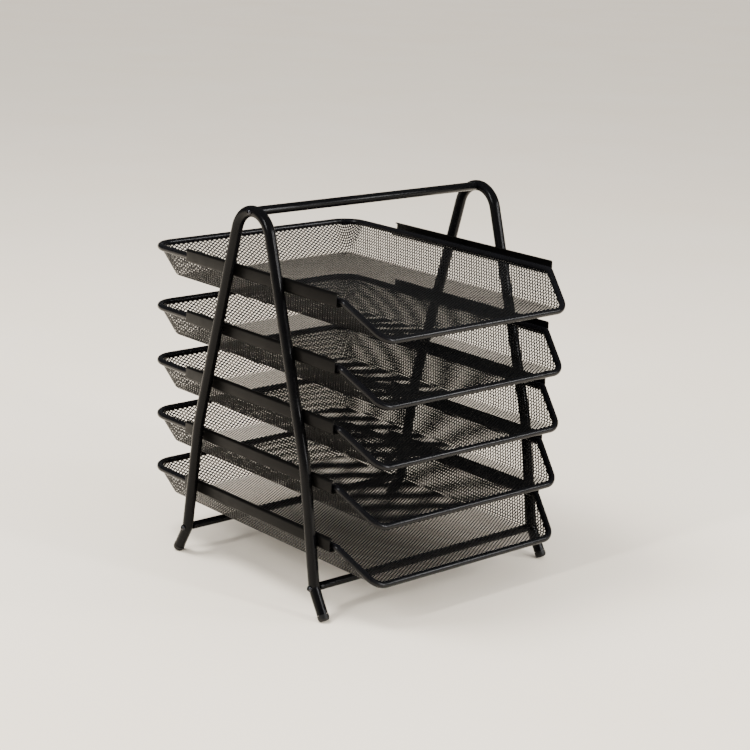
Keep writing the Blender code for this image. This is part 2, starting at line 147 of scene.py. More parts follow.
@dataclass(frozen=True)
class SurfaceFinish:
    """A finish with mottled colour, uneven gloss and a fine relief, all from Object coordinates.

    Attributes:
        name: the material's name.
        dark: hex colour of the darker patches.
        light: hex colour of the lighter patches.
        patch: size of the colour patches, in metres.
        gloss: lowest and highest roughness.
        grain: spacing of the relief, in metres.
        relief: height of the relief, in metres.
        metallic: 1 for bare metal, 0 for paint and plastic.
        ior: index of refraction of the surface.
        specular: strength of the reflection that the surface gives head on, 0.5 for clean paint.
    """

    name: str
    dark: str
    light: str
    patch: float
    gloss: tuple[float, float]
    grain: float
    relief: float
    metallic: float = 0.0
    ior: float = 1.5
    specular: float = 0.5

    def material(self) -> bpy.types.Material:
        """Build the material, or return it if it was built before."""
        found = bpy.data.materials.get(self.name)
        if found:
            return found
        material = bpy.data.materials.new(self.name)
        material.use_nodes = True
        tree = material.node_tree
        shader = tree.nodes["Principled BSDF"]
        place = add_node(tree, "ShaderNodeTexCoord").outputs["Object"]
        patches, uneven, grain = (
            add_node(
                tree,
                "ShaderNodeTexNoise",
                {"Scale": 1 / size, "Detail": detail, "Roughness": rough},
                {"Vector": place},
            )
            for size, detail, rough in (
                (self.patch, 3.0, 0.55),
                (self.grain * GLOSS_GRAINS, 4.0, 0.5),
                (self.grain, 2.0, 0.5),
            )
        )
        colour = add_node(
            tree, "ShaderNodeMix", {"data_type": "RGBA"}, {"Factor": patches.outputs["Fac"]}
        )
        colour.inputs[MIX_FIRST].default_value = hex_colour(self.dark)
        colour.inputs[MIX_SECOND].default_value = hex_colour(self.light)
        tree.links.new(colour.outputs[MIX_RESULT], shader.inputs["Base Color"])
        gloss = add_node(
            tree,
            "ShaderNodeMapRange",
            {
                "From Min": NOISE_SPAN[0],
                "From Max": NOISE_SPAN[1],
                "To Min": self.gloss[0],
                "To Max": self.gloss[1],
            },
            {"Value": uneven.outputs["Fac"]},
        )
        tree.links.new(gloss.outputs["Result"], shader.inputs["Roughness"])
        bump = add_node(
            tree,
            "ShaderNodeBump",
            {"Strength": 1.0, "Distance": self.relief},
            {"Height": grain.outputs["Fac"]},
        )
        tree.links.new(bump.outputs["Normal"], shader.inputs["Normal"])
        shader.inputs["Metallic"].default_value = self.metallic
        shader.inputs["IOR"].default_value = self.ior
        shader.inputs["Specular IOR Level"].default_value = self.specular
        return material


# Satin black polyester powder coat, sprayed and baked on bent steel tube.  It melts into a shallow
# orange peel, which breaks long highlights up into soft-edged streaks.
POWDER_COAT = SurfaceFinish(
    name="Satin black powder coat on steel tube",
    dark="#040405",
    light="#0a0a0b",
    patch=22 * MM,
    gloss=(0.2, 0.29),
    grain=1.3 * MM,
    relief=0.01 * MM,
    specular=0.1,
)
# The same powder on folded sheet, a little flatter, because the film is thinner on a plate.
SHEET_COAT = SurfaceFinish(
    name="Satin black powder coat on folded sheet",
    dark="#040404",
    light="#0b0a09",
    patch=18 * MM,
    gloss=(0.3, 0.42),
    grain=1.1 * MM,
    relief=0.012 * MM,
    specular=0.08,
)
# Round wire takes a smoother film, so its highlight is a clean grey line.
WIRE_COAT = SurfaceFinish(
    name="Semi-gloss black coat on drawn wire",
    dark="#070708",
    light="#0e0e10",
    patch=15 * MM,
    gloss=(0.2, 0.3),
    grain=1.0 * MM,
    relief=0.008 * MM,
    specular=0.16,
)
# Dipped mesh: the coat fills the corners where strands cross and dries to an even satin.
MESH_COAT = SurfaceFinish(
    name="Satin black coat on steel mesh",
    dark="#070707",
    light="#0e0e0e",
    patch=12 * MM,
    gloss=(0.32, 0.44),
    grain=0.7 * MM,
    relief=0.008 * MM,
    specular=0.2,
)
# Soft polyethylene, injection moulded in a spark-eroded mould, so it is matt and finely pitted.
MOULDED_PLUG = SurfaceFinish(
    name="Moulded black polyethylene",
    dark="#070707",
    light="#0e0e0e",
    patch=6 * MM,
    gloss=(0.42, 0.56),
    grain=0.45 * MM,
    relief=0.012 * MM,
    specular=0.22,
)
# Blackened (oxidised) steel: dark, still metallic, with brighter high spots from handling.
BLACK_OXIDE = SurfaceFinish(
    name="Black oxide on steel screw",
    dark="#2a2a2c",
    light="#46464a",
    patch=2.5 * MM,
    gloss=(0.2, 0.34),
    grain=0.35 * MM,
    relief=0.006 * MM,
    metallic=1.0,
)


# -------- modelling helpers


def deselect_all() -> None:
    """Leave edit mode and deselect every object."""
    if bpy.context.object and bpy.context.object.mode != "OBJECT":
        bpy.ops.object.mode_set(mode="OBJECT")
    bpy.ops.object.select_all(action="DESELECT")


def make_active(item: bpy.types.Object) -> None:
    """Select one object alone and make it the active one."""
    deselect_all()
    item.select_set(True)
    bpy.context.view_layer.objects.active = item


def apply_place(item: bpy.types.Object) -> None:
    """Move an object's place, turn and scale into its mesh."""
    make_active(item)
    bpy.ops.object.transform_apply(location=True, rotation=True, scale=True)


def apply_modifier(item: bpy.types.Object, kind: str, settings: dict[str, Any]) -> None:
    """Add a modifier with its settings and apply it.

    Args:
        item: the object that is modified.
        kind: the modifier's type, such as BEVEL.
        settings: the modifier's properties by name.
    """
    make_active(item)
    modifier = item.modifiers.new(kind.title(), kind)
    for name, value in settings.items():
        setattr(modifier, name, value)
    bpy.ops.object.modifier_apply(modifier=modifier.name)


def clear_picks(item: bpy.types.Object, kind: str) -> None:
    """Deselect the whole mesh and set what is picked next, FACE or EDGE."""
    make_active(item)
    bpy.ops.object.mode_set(mode="EDIT")
    bpy.ops.mesh.select_all(action="DESELECT")
    bpy.ops.mesh.select_mode(type=kind)
    bpy.ops.object.mode_set(mode="OBJECT")


def select_faces(item: bpy.types.Object, test: MeshTest) -> None:
    """Select, in edit mode, the faces for which test(centre, normal) is true.

    Args:
        item: the object, in object mode.
        test: a function of a face's centre and normal.
    """
    clear_picks(item, "FACE")
    for face in item.data.polygons:
        face.select = bool(test(face.center, face.normal))
    bpy.ops.object.mode_set(mode="EDIT")


def select_edges(item: bpy.types.Object, test: MeshTest) -> None:
    """Select, in edit mode, the edges for which test(one end, other end) is true.

    Args:
        item: the object, in object mode.
        test: a function of the places of an edge's two ends.
    """
    clear_picks(item, "EDGE")
    points = item.data.vertices
    for edge in item.data.edges:
        ends = [points[index].co for index in edge.vertices]
        edge.select = bool(test(ends[0], ends[1]))
    bpy.ops.object.mode_set(mode="EDIT")


def extrude(move: Sequence[float]) -> None:
    """Extrude what is selected, in edit mode, by a move."""
    bpy.ops.mesh.extrude_region_move(TRANSFORM_OT_translate={"value": move})


def turn_outwards(item: bpy.types.Object) -> None:
    """Turn every face of a mesh outwards."""
    make_active(item)
    bpy.ops.object.mode_set(mode="EDIT")
    bpy.ops.mesh.select_all(action="SELECT")
    bpy.ops.mesh.normals_make_consistent(inside=False)
    bpy.ops.object.mode_set(mode="OBJECT")


def add_cylinder(
    diameter: float,
    depth: float,
    place: Sequence[float],
    turn: Sequence[float] = ACROSS,
    sides: int = ROUND_SIDES,
) -> bpy.types.Object:
    """Add a closed cylinder.

    Args:
        diameter: its diameter over the corners of its outline.
        depth: its length.
        place: its middle.
        turn: its turns about X, Y and Z.
        sides: how many faces go round.

    Returns:
        The cylinder, not yet moved into its mesh.
    """
    deselect_all()
    bpy.ops.mesh.primitive_cylinder_add(
        vertices=sides, radius=diameter / 2, depth=depth, location=place, rotation=turn
    )
    return bpy.context.object


def cut_away(item: bpy.types.Object, tool: bpy.types.Object) -> None:
    """Cut a tool's shape out of a piece and remove the tool."""
    apply_modifier(item, "BOOLEAN", {"operation": "DIFFERENCE", "object": tool})
    bpy.data.objects.remove(tool, do_unlink=True)


def smooth(item: bpy.types.Object, angle: float = 35.0) -> None:
    """Shade smooth, with a crease wherever faces meet at more than an angle in degrees."""
    make_active(item)
    bpy.ops.object.shade_smooth_by_angle(angle=math.radians(angle))


def middle(node: str) -> Vector:
    """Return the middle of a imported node's box."""
    low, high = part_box(node)
    return (low + high) / 2


def rounded_path(
    corners: Sequence[Vector],
    radii: Sequence[float],
    step: float,
    closed: bool = False,
) -> list[Vector]:
    """Round the corners of a path with arcs.

    Args:
        corners: the path's corners.
        radii: the bend radius at each corner.
        step: the longest run along an arc between two points, in metres.
        closed: whether the last corner joins the first; if not, both end corners stay sharp.

    Returns:
        The points of the rounded path.
    """
    points: list[Vector] = []
    count = len(corners)
    for index, corner in enumerate(corners):
        if not closed and index in (0, count - 1):
            points.append(corner.copy())
            continue
        back = (corners[index - 1] - corner).normalized()
        ahead = (corners[(index + 1) % count] - corner).normalized()
        half_angle = back.angle(ahead) / 2
        radius = radii[index]
        centre = corner + (back + ahead).normalized() * (radius / math.sin(half_angle))
        first = (corner + back * (radius / math.tan(half_angle)) - centre).normalized()
        last = (corner + ahead * (radius / math.tan(half_angle)) - centre).normalized()
        pieces = max(3, math.ceil(first.angle(last) * radius / step))
        for piece in range(pieces + 1):
            points.append(centre + first.slerp(last, piece / pieces) * radius)
    return points


def sweep(
    name: str,
    path: Sequence[Vector],
    diameter: float,
    sides: int,
    closed: bool = False,
) -> bpy.types.Object:
    """Bevel a path into round stock and make it a mesh.

    Args:
        name: the object's name.
        path: the points of its middle line.
        diameter: outer diameter.
        sides: how many faces go round, an even number of at least 4.
        closed: whether the path is a loop; if not, its ends stay open.

    Returns:
        The mesh object, at the origin.
    """
    curve = bpy.data.curves.new(name, "CURVE")
    curve.dimensions = "3D"
    curve.bevel_depth = diameter / 2
    curve.bevel_resolution = sides // 2 - 2
    curve.use_fill_caps = False
    spline = curve.splines.new("POLY")
    spline.points.add(len(path) - 1)
    spline.points.foreach_set("co", [value for point in path for value in (*point, 1.0)])
    spline.use_cyclic_u = closed
    item = bpy.data.objects.new(name, curve)
    bpy.context.scene.collection.objects.link(item)
    make_active(item)
    bpy.ops.object.convert(target="MESH")
    return bpy.context.object


def dress(
    item: bpy.types.Object,
    finish: SurfaceFinish,
    body: str,
    slot: str,
    *nodes: str,
) -> bpy.types.Object:
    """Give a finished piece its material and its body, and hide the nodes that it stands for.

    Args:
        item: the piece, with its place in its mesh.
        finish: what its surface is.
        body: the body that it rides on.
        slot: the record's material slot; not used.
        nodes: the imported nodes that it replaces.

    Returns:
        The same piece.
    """
    item.data.materials.clear()
    item.data.materials.append(finish.material())
    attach(item, body)
    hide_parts(*nodes)
    log.info("%s: %d faces", item.name, len(item.data.polygons))
    return item


def copy_raised(item: bpy.types.Object, name: str, rise: float) -> bpy.types.Object:
    """Copy a piece with a mesh of its own and move that mesh up or down.

    Args:
        item: the piece that is copied.
        name: the copy's name.
        rise: how much higher the copy is, below zero for a lower one.

    Returns:
        The copy.
    """
    mesh = item.data.copy()
    mesh.transform(Matrix.Translation((0, 0, rise)))
    mesh.name = name
    twin = bpy.data.objects.new(name, mesh)
    bpy.context.scene.collection.objects.link(twin)
    return twin


# -------- carrying frame


@dataclass
class CarryingFrame:
    """Two bent tube side frames with their plugs, bars and screws.

    Attributes are the tube's sizes and bends, then the plug's, the bars' and the screw's sizes.
    A screw's dome is a list of steps, each with the width it ends at and its own rise, as shares of
    the head's diameter and height; dome_height is the rises together.
    """

    tube: float = 10.5 * MM
    wall: float = 1.0 * MM
    arch_radius: float = 25.5 * MM
    lean: float = math.radians(15.9)
    bend_height: float = 139.0 * MM
    bend_radius: float = 150.0 * MM
    lower_lean: float = math.radians(9.0)
    foot_height: float = 28.4 * MM
    foot_radius: float = 12.0 * MM
    flare: float = math.radians(30.5)
    plug_head: float = 10.9 * MM
    plug_length: float = 6.0 * MM
    plug_rounding: float = 3.0 * MM
    plug_stem: float = 8.0 * MM
    sole_depth: float = 0.6 * MM
    chamfer: float = 0.35 * MM
    bore: float = 3.6 * MM
    bore_depth: float = 12.0 * MM
    shank: float = 3.0 * MM
    head: float = 5.8 * MM
    head_height: float = 2.2 * MM
    socket: float = 2.2 * MM
    socket_depth: float = 1.2 * MM
    dome: tuple[tuple[float, float], ...] = ((0.86, 0.22), (0.66, 0.26), (0.44, 0.16), (0.42, 0.08))
    dome_height: float = 0.72
    dome_crease: float = 40.0
    arc_step: float = 2.2 * MM

    def __post_init__(self) -> None:
        """Read where the side frames stand and how high they are."""
        low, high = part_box("left_side_frame")
        self.centre_y = (low.y + high.y) / 2
        self.arch_top = high.z - self.tube / 2

    def half_width(self, height: float) -> float:
        """Return how far a leg is from the side frame's middle, at a height below the arch."""
        tangent_y = self.arch_radius * math.cos(self.lean)
        tangent_z = self.arch_top - self.arch_radius * (1 - math.sin(self.lean))
        if height >= self.bend_height:
            return tangent_y + (tangent_z - height) * math.tan(self.lean)
        bend_y = tangent_y + (tangent_z - self.bend_height) * math.tan(self.lean)
        return bend_y + (self.bend_height - height) * math.tan(self.lower_lean)

    def foot_end(self) -> tuple[float, float]:
        """Return (y, z) of the end of a plug before its sole is cut, from the frame's middle."""
        reach = (self.plug_head / 2 - self.plug_rounding) * math.sin(self.flare)
        end_z = self.plug_rounding * (1 - math.cos(self.flare)) + reach - self.sole_depth
        splay = (self.foot_height - end_z) * math.tan(self.flare)
        return self.half_width(self.foot_height) + splay, end_z

    def tube_path(self) -> list[Vector]:
        """Return the middle line of a side frame, standing in the plane x = 0."""
        end_y, end_z = self.foot_end()
        back_off = self.plug_length + CONTACT_GAP
        end = (end_y - back_off * math.sin(self.flare), end_z + back_off * math.cos(self.flare))
        half = [
            end,
            (self.half_width(self.foot_height), self.foot_height),
            (self.half_width(self.bend_height), self.bend_height),
        ]
        peak = self.arch_top - self.arch_radius + self.arch_radius / math.sin(self.lean)
        corners = [Vector((0, self.centre_y + y, z)) for y, z in half]
        corners.append(Vector((0, self.centre_y, peak)))
        corners += [Vector((0, self.centre_y - y, z)) for y, z in reversed(half)]
        radii = [0, self.foot_radius, self.bend_radius, self.arch_radius]
        radii += radii[2::-1]
        return rounded_path(corners, radii, self.arc_step)

    def screw_places(self) -> dict[str, tuple[float, float]]:
        """Return (y, z) of the screw in the arch and of those in the two legs."""
        foot = self.half_width(self.foot_height)
        return {
            "handle": (self.centre_y, self.arch_top),
            "front": (self.centre_y - foot, self.foot_height),
            "rear": (self.centre_y + foot, self.foot_height),
        }

    def side_frame(self, side: Side) -> bpy.types.Object:
        """Bend the tube of one side frame, hollow it and drill its screw holes."""
        name = f"{side.word}_frame_tube"
        x = middle(f"{side.word}_side_frame").x
        path = [Vector((x, point.y, point.z)) for point in self.tube_path()]
        tube = sweep(name, path, self.tube, BORE_SIDES)
        apply_modifier(tube, "SOLIDIFY", {"thickness": self.wall, "offset": -1.0})
        for y, z in self.screw_places().values():
            cut_away(tube, add_cylinder(self.bore, 2 * self.tube, (x, y, z), sides=BORE_SIDES))
        smooth(tube)
        return dress(tube, POWDER_COAT, "frame", "coat", f"{side.word}_side_frame")

    def bar(self, name: str, node: str) -> bpy.types.Object:
        """Turn a round bar with a chamfered, bored end on each side.

        Args:
            name: the piece's name.
            node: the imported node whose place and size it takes.

        Returns:
            The piece.
        """
        low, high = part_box(node)
        length = high.x - low.x
        diameter = high.z - low.z
        bar = add_cylinder(diameter, length, middle(node))
        bar.name = name
        apply_place(bar)
        for side in Side:
            select_faces(bar, lambda centre, normal: normal.x * side.value > FACING)
            bpy.ops.mesh.bevel(offset=self.chamfer, segments=2, affect="EDGES")
            select_faces(bar, lambda centre, normal: normal.x * side.value > FLAT_END)
            flat = diameter / 2 - self.chamfer
            bpy.ops.mesh.inset(thickness=flat - self.bore / 2)
            extrude((-side.value * self.bore_depth, 0, 0))
        bpy.ops.object.mode_set(mode="OBJECT")
        smooth(bar)
        return dress(bar, POWDER_COAT, "frame", "coat", node)

    def screw(self, place: str, side: Side) -> bpy.types.Object:
        """Make a button head screw: a domed head with a hexagon socket, and a shank.

        Args:
            place: handle, front or rear.
            side: the side that the head is on.

        Returns:
            The piece.
        """
        node = f"{place}_{side.word}_screw"
        low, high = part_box(node)
        out = side.value
        tip = high.x if out < 0 else low.x
        crown = low.x if out < 0 else high.x
        seat = crown - out * self.head_height
        y, z = self.screw_places()[place]
        screw = add_cylinder(self.head, self.head_height, ((crown + seat) / 2, y, z))
        screw.name = f"{place}_{side.word}_button_screw"
        apply_place(screw)
        # The dome: the crown's face sinks, then rises in steps to its true height as it shrinks.
        select_faces(screw, lambda centre, normal: normal.x * out > FACING)
        bpy.ops.transform.translate(value=(-out * self.head_height * self.dome_height, 0, 0))
        radius = self.head / 2
        for share, rise in self.dome:
            extrude((out * self.head_height * rise, 0, 0))
            target = self.head / 2 * share
            bpy.ops.transform.resize(
                value=(1, target / radius, target / radius),
                center_override=(crown, y, z),
            )
            radius = target
        select_faces(screw, lambda centre, normal: normal.x * out < -FACING)
        bpy.ops.mesh.inset(thickness=(self.head - self.shank) / 2)
        extrude((tip - seat, 0, 0))
        bpy.ops.object.mode_set(mode="OBJECT")
        over_corners = self.socket / math.cos(math.pi / 6)
        key = add_cylinder(over_corners, 2 * self.socket_depth, (crown, y, z), sides=6)
        cut_away(screw, key)
        smooth(screw, self.dome_crease)
        return dress(screw, BLACK_OXIDE, "frame", "screw", node)

    def plug(self, place: Place, side: Side) -> bpy.types.Object:
        """Mould a foot plug: a rounded head along the flared foot, a stem and a flat sole."""
        name = f"{place.name.lower()}_{side.word}_foot"
        node = f"{name}_plug"
        end_y, end_z = self.foot_end()
        x = middle(node).x
        turn = place.value * self.flare
        axis = Vector((0, -math.sin(turn), math.cos(turn)))
        end = Vector((x, self.centre_y + place.value * end_y, end_z))
        centre = end + axis * (self.plug_length / 2)
        plug = add_cylinder(self.plug_head, self.plug_length, centre, (turn, 0, 0))
        plug.name = name
        apply_place(plug)
        select_faces(plug, lambda centre, normal: normal.dot(axis) > FACING)
        stem = self.tube / 2 - self.wall - CONTACT_GAP
        bpy.ops.mesh.inset(thickness=self.plug_head / 2 - stem)
        extrude(axis * self.plug_stem)
        select_faces(plug, lambda centre, normal: normal.dot(axis) < -FACING)
        bpy.ops.mesh.bevel(offset=self.plug_rounding, segments=7, affect="EDGES")
        bpy.ops.mesh.select_all(action="SELECT")
        bpy.ops.mesh.bisect(
            plane_co=(0, 0, 0),
            plane_no=(0, 0, 1),
            use_fill=True,
            clear_inner=True,
        )
        bpy.ops.object.mode_set(mode="OBJECT")
        smooth(plug)
        return dress(plug, MOULDED_PLUG, "frame", "plastic", node)

    def build(self) -> None:
        """Make every piece of the frame except the rails."""
        for side in Side:
            self.side_frame(side)
            for place in ("handle", "front", "rear"):
                self.screw(place, side)
            for end in Place:
                self.plug(end, side)
        self.bar("carrying_handle", "handle_bar")
        self.bar("front_bar", "front_cross_bar")
        self.bar("rear_bar", "rear_cross_bar")


@dataclass
class Rail:
    """A channel folded from sheet, in which one side of a tray's rim runs.

    Attributes are the sheet's thickness, the outer radius of the folds and the faces in each, the
    reach of the lip, and how far edges sharper than an angle are broken.
    """

    sheet: float = 1.2 * MM
    fold: float = 2.2 * MM
    fold_faces: int = 6
    lip: float = 3.4 * MM
    edge_break: float = 0.22 * MM
    edge_angle: float = math.radians(60)

    def build(self, side: Side, tier: int) -> bpy.types.Object:
        """Fold one rail from a flat strip.

        Args:
            side: the side frame that it is on.
            tier: its tray, counted from the top.

        Returns:
            The piece.
        """
        node = f"{side.word}_rail_{tier}"
        low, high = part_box(node)
        inward = -side.value
        half = self.sheet / 2
        web = (low.x if inward > 0 else high.x) + inward * half
        reach = high.x - low.x - half
        deselect_all()
        bpy.ops.mesh.primitive_plane_add(size=1, location=(web, middle(node).y, middle(node).z))
        rail = bpy.context.object
        rail.name = f"{side.word}_channel_{tier}"
        rail.rotation_euler = ACROSS
        rail.scale = (high.z - low.z - self.sheet, high.y - low.y, 1)
        apply_place(rail)
        top = high.z - half
        bottom = low.z + half
        for height, width in ((top, self.lip - half), (bottom, reach)):
            select_edges(
                rail, lambda a, b: max(abs(a.z - height), abs(b.z - height)) < SAME_PLACE
            )
            extrude((inward * width, 0, 0))
        select_edges(
            rail,
            lambda a, b: max(abs(a.x - web), abs(b.x - web), abs(a.z - b.z)) < SAME_PLACE,
        )
        bpy.ops.mesh.bevel(offset=self.fold - half, segments=self.fold_faces, affect="EDGES")
        bpy.ops.mesh.select_all(action="SELECT")
        bpy.ops.mesh.remove_doubles(threshold=1e-6)
        bpy.ops.object.mode_set(mode="OBJECT")
        turn_outwards(rail)
        apply_modifier(
            rail,
            "SOLIDIFY",
            {"thickness": self.sheet, "offset": 0.0, "use_even_offset": True},
        )
        apply_modifier(
            rail,
            "BEVEL",
            {
                "width": self.edge_break,
                "segments": 2,
                "limit_method": "ANGLE",
                "angle_limit": self.edge_angle,
            },
        )
        turn_outwards(rail)
        smooth(rail)
        return dress(rail, SHEET_COAT, "frame", "coat", node)


# -------- trays


@dataclass
class TrayRim:
    """The closed wire loop of a tray, with its lowered, narrower front.

    Attributes are the wire's diameter and the faces round it, its bends, the longest run between
    two points of a bend, and the angle past which it shades as a crease.  Heights are from the
    straight sides.
    """

    wire: float = 6.3 * MM
    wire_sides: int = 28
    rear_radius: float = 23.0 * MM
    bend_radius: float = 6.0 * MM
    front_radius: float = 15.0 * MM
    slope_run: float = 38.4 * MM
    drop: float = 29.2 * MM
    taper: float = 16.5 * MM
    arc_step: float = 1.6 * MM
    crease: float = 60.0

    def __post_init__(self) -> None:
        """Read the loop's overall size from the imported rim."""
        low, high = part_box("tray_1_rim")
        self.half_width = (high.x - low.x - self.wire) / 2
        self.half_length = (high.y - low.y - self.wire) / 2

    def height(self, tier: int) -> float:
        """Return the height of a tray's straight sides."""
        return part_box(f"tray_{tier}_rim")[1].z - self.wire / 2

    def path(self, step: float) -> list[Vector]:
        """Return the wire's middle line, with its straight sides at z = 0.

        Args:
            step: the longest run between two points of a bend.

        Returns:
            The points of the closed line.
        """
        bend_y = -self.half_length + self.slope_run
        right = [
            Vector((self.half_width, self.half_length, 0)),
            Vector((self.half_width, bend_y, 0)),
            Vector((self.half_width - self.taper, -self.half_length, -self.drop)),
        ]
        left = [Vector((-point.x, point.y, point.z)) for point in reversed(right)]
        radii = [self.rear_radius, self.bend_radius, self.front_radius]
        return rounded_path(right + left, radii + radii[::-1], step, closed=True)

    def fill_tiers(
        self, first: bpy.types.Object, part: str, finish: SurfaceFinish, slot: str, node: str
    ) -> None:
        """Dress the top tray's piece and a copy of it on every lower tier.

        Args:
            first: the piece, already at the top tier's height.
            part: the end of the pieces' names.
            finish: what their surface is.
            slot: the record's material slot.
            node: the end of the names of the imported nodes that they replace.
        """
        for tier in TIERS:
            piece = first
            if tier != TIERS[0]:
                rise = self.height(tier) - self.height(TIERS[0])
                piece = copy_raised(first, f"tray_{tier}_{part}", rise)
            dress(piece, finish, f"tray_{tier}", slot, f"tray_{tier}_{node}")

    def build(self) -> None:
        """Bend one loop and copy it to every tier."""
        line = self.path(self.arc_step)
        first = sweep("tray_1_wire", line, self.wire, self.wire_sides, closed=True)
        first.data.transform(Matrix.Translation((0, 0, self.height(TIERS[0]))))
        smooth(first, self.crease)
        self.fill_tiers(first, "wire", WIRE_COAT, "wire", "rim")


@dataclass
class MeshBasket:
    """A mesh basket pressed from one flat sheet of expanded steel.

    The sheet's diamonds are longer across the tray than along it.  While the sheet is flat its
    strands are straight; pressing folds it up at the sides and the back, and gathers it round the
    two rear corners.

    Attributes are the diamond's long and short ways, the strand's flat section and the share of its
    width that is level, the length and width of the bonds, where the strands stay joined, half the
    step between the two layers of strands, the floor's rounding, how far strands reach into the
    wire, the steps that the outline and the strands are worked out in, how far a strand may stray
    from its true line, and the angle past which it shades as a crease.
    """

    rim: TrayRim
    long_way: float = 5.8 * MM
    short_way: float = 3.53 * MM
    strand_width: float = 1.25 * MM
    strand_thickness: float = 0.4 * MM
    level_share: float = 0.62
    bond: tuple[float, float] = (3.1 * MM, 0.8 * MM)
    layer: float = 0.03 * MM
    rounding: float = 6.0 * MM
    bite: float = 1.4 * MM
    outline_step: float = 4.0 * MM
    sample_step: float = 1.0 * MM
    stray: float = 0.04 * MM
    crease: float = 70.0

    def __post_init__(self) -> None:
        """Work out the wall's lean, the floor's outline and the wall's length."""
        self.lean = math.atan2(self.rim.taper, self.rim.drop)
        self.fold_angle = math.pi / 2 - self.lean
        self.fold_length = self.rounding * self.fold_angle
        self.fold_reach = self.rounding * math.sin(self.fold_angle)
        self.fold_rise = self.rounding * (1 - math.cos(self.fold_angle))
        wall_rise = self.rim.drop - self.fold_rise
        self.wall_reach = self.fold_reach + wall_rise * math.tan(self.lean)
        self.corner = self.rim.rear_radius - self.wall_reach
        self.corner_x = self.rim.half_width - self.wall_reach - self.corner
        self.corner_y = self.rim.half_length - self.wall_reach - self.corner

    def off_floor(self, x: float, y: float) -> tuple[float, Vector]:
        """Find how far a point is outside the floor's outline, and in which direction.

        Args:
            x: place across the tray.
            y: place along the tray.

        Returns:
            The distance, below zero on the floor, and the unit direction away from the floor.
        """
        side = math.copysign(1.0, x)
        across = abs(x) - self.corner_x
        along = y - self.corner_y
        if across > 0 and along > 0:
            distance = math.hypot(across, along)
            return distance - self.corner, Vector((side * across, along)) / distance
        if across >= along:
            return across - self.corner, Vector((side, 0))
        return along - self.corner, Vector((0, 1))

    def fold_up(self, u: float, v: float) -> tuple[Vector, Vector]:
        """Press a point of the flat sheet into place.

        Args:
            u: place across the flat sheet.
            v: place along the flat sheet.

        Returns:
            The point in the tray and the sheet's upward normal there.
        """
        length, away = self.off_floor(u, v)
        if length <= 0:
            return Vector((u, v, -self.rim.drop)), Vector((0, 0, 1))
        if length < self.fold_length:
            angle = length / self.rounding
            reach = self.rounding * math.sin(angle)
            rise = self.rounding * (1 - math.cos(angle))
        else:
            angle = self.fold_angle
            reach = self.fold_reach + (length - self.fold_length) * math.sin(self.lean)
            rise = self.fold_rise + (length - self.fold_length) * math.cos(self.lean)
        base = Vector((u, v)) - away * length
        place = base + away * reach
        normal = Vector((-away.x * math.sin(angle), -away.y * math.sin(angle), math.cos(angle)))
        return Vector((place.x, place.y, rise - self.rim.drop)), normal

    def flatten(self, x: float, y: float) -> tuple[float, float]:
        """Return where a point over the pressed sheet was on the flat one."""
        reach, away = self.off_floor(x, y)
        if reach <= 0:
            return x, y
        if reach < self.fold_reach:
            length = self.rounding * math.asin(reach / self.rounding)
        else:
            length = self.fold_length + (reach - self.fold_reach) / math.sin(self.lean)
        return x + away.x * (length - reach), y + away.y * (length - reach)

    def blank(self) -> np.ndarray:
        """Return the points of the flat sheet's outline, which lies inside the wire."""
        wire = self.rim.path(self.outline_step)
        edge = np.array([self.flatten(point.x, point.y) for point in wire])
        ahead = np.roll(edge, -1, axis=0) - np.roll(edge, 1, axis=0)
        ahead /= np.linalg.norm(ahead, axis=1)[:, None]
        inward = np.stack([-ahead[:, 1], ahead[:, 0]], axis=1)
        centre = edge.mean(axis=0)
        inward *= np.sign(((centre - edge) * inward).sum(axis=1))[:, None]
        return edge + inward * self.bite

    def strand_run(
        self, outline: np.ndarray, start: np.ndarray, along: np.ndarray
    ) -> tuple[float, float]:
        """Clip an endless strand to the flat sheet.

        Args:
            outline: the sheet's convex outline.
            start: a point of the strand.
            along: the strand's unit direction.

        Returns:
            Where the strand enters and leaves the sheet, as distances from start.
        """
        low, high = -1.0, 1.0
        centre = outline.mean(axis=0)
        for first, second in zip(outline, np.roll(outline, -1, axis=0)):
            side = np.array([-(second - first)[1], (second - first)[0]])
            if np.dot(centre - first, side) < 0:
                side = -side
            depth = np.dot(start - first, side)
            slope = np.dot(along, side)
            if abs(slope) < 1e-12:
                if depth < 0:
                    return 0.0, 0.0
                continue
            crossing = -depth / slope
            if slope > 0:
                low = max(low, crossing)
            else:
                high = min(high, crossing)
        return low, high

    def thin(self, points: np.ndarray) -> list[int]:
        """Drop the points of a strand that lie on a straight run.

        Args:
            points: the strand's points.

        Returns:
            The numbers of the points that are kept.
        """
        keep = {0, len(points) - 1}
        stack = [(0, len(points) - 1)]
        while stack:
            first, last = stack.pop()
            if last - first < 2:
                continue
            run = points[last] - points[first]
            run /= np.linalg.norm(run)
            off = points[first + 1 : last] - points[first]
            away = np.linalg.norm(off - np.outer(off @ run, run), axis=1)
            worst = int(away.argmax())
            if away[worst] > self.stray:
                split = first + 1 + worst
                keep.add(split)
                stack += [(first, split), (split, last)]
        return sorted(keep)

